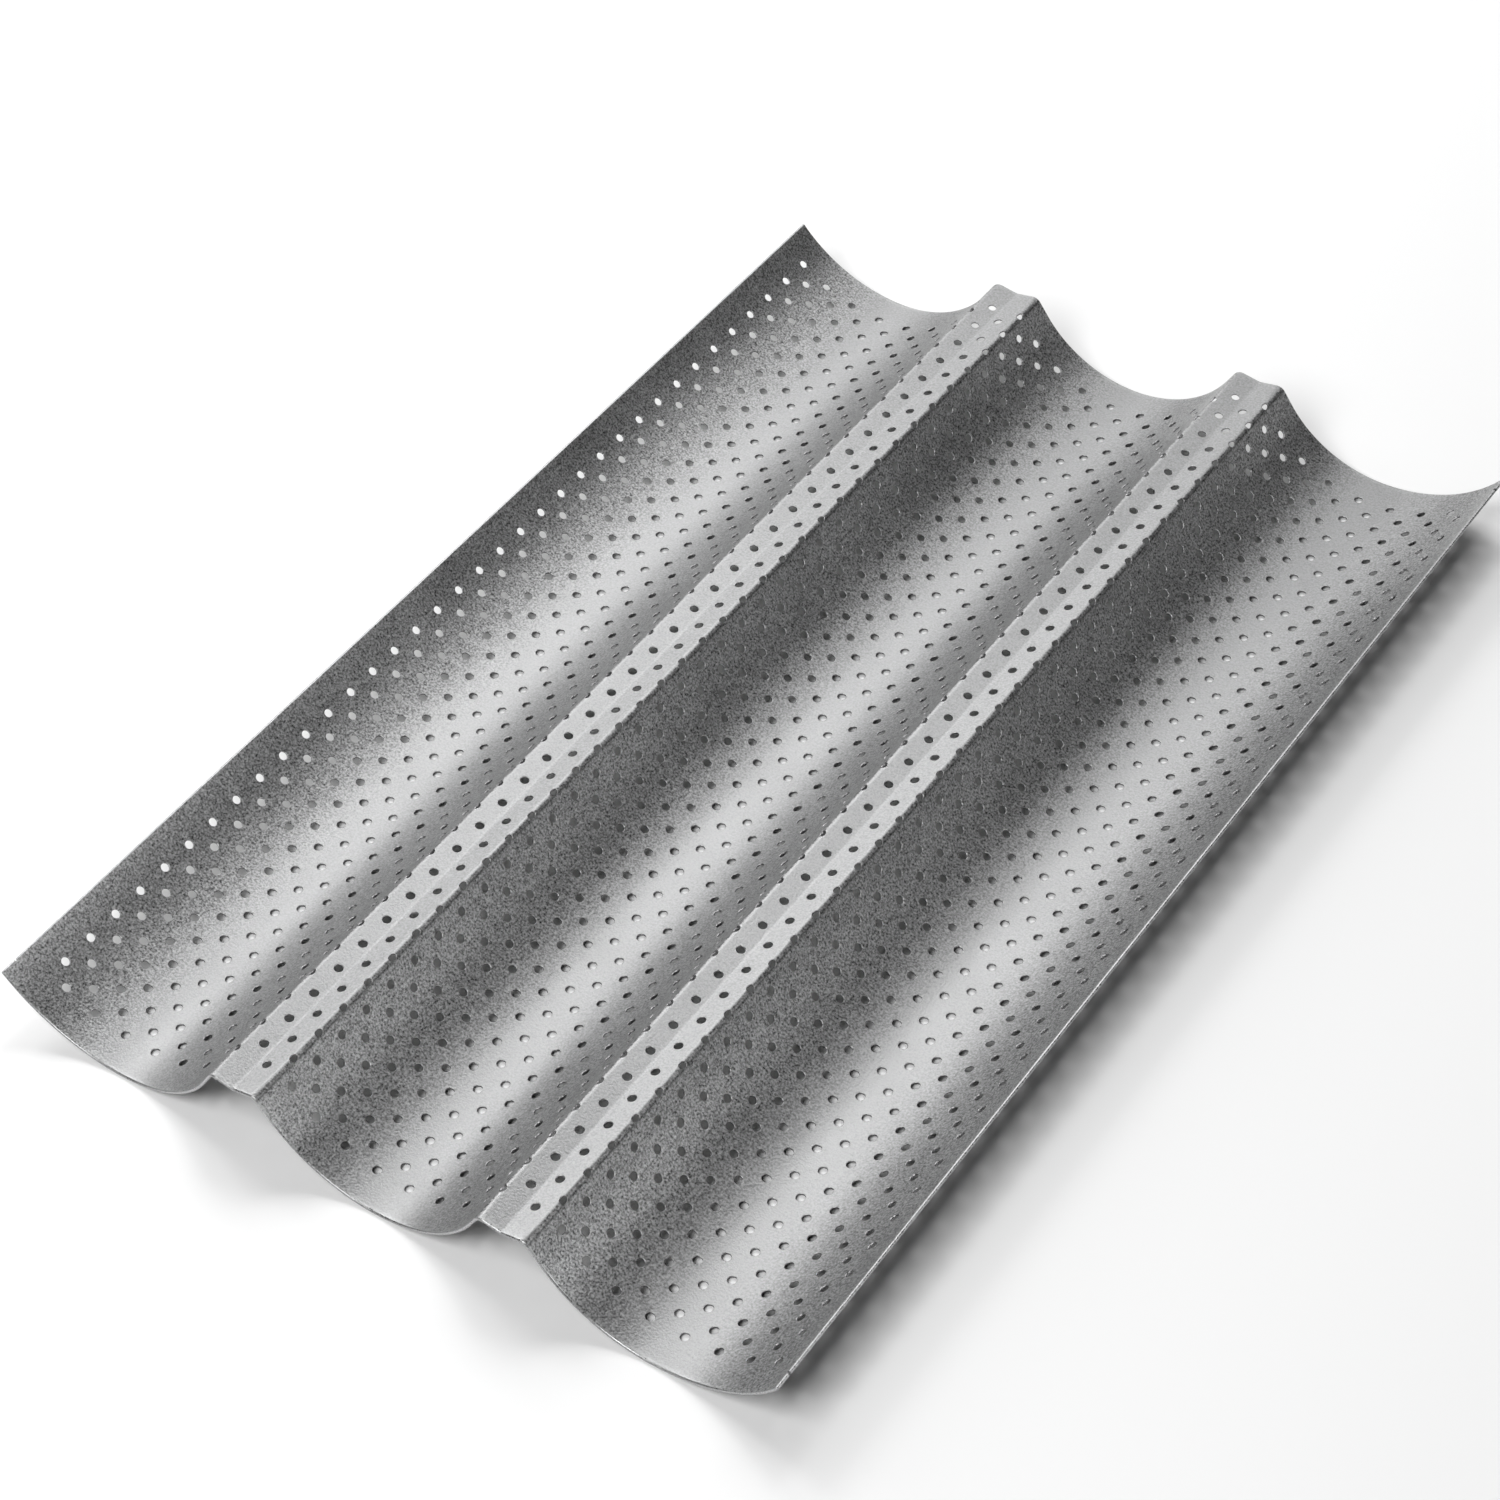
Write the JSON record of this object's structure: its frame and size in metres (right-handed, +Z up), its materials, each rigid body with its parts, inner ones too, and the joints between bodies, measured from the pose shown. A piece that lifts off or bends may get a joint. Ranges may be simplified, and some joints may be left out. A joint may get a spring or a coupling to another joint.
{
  "type": "perforated baguette tray",
  "caption": "Pressed, perforated sheet-steel baking tray with parallel round-bottomed loaf troughs, double-creased ridges between them and a closed hem round its edges.",
  "frame": {"origin": "centre of the tray's footprint, on the surface it rests on", "axes": "+X across the troughs, +Y along the troughs away from the viewer, +Z up"},
  "size_m": [0.249, 0.38, 0.0237],
  "materials": {
    "nonstick_steel": "silver-grey satin non-stick coating, fine grain",
    "hem_steel": "the same coating, rubbed slightly brighter on the folded edge"
  },
  "bodies": {
    "root": {"trough_left": "nonstick_steel", "trough_middle": "nonstick_steel", "trough_right": "nonstick_steel", "ridge_left": "nonstick_steel", "ridge_right": "nonstick_steel", "hem_front": "hem_steel", "hem_back": "hem_steel", "hem_left": "hem_steel", "hem_right": "hem_steel"}
  },
  "joints": []
}
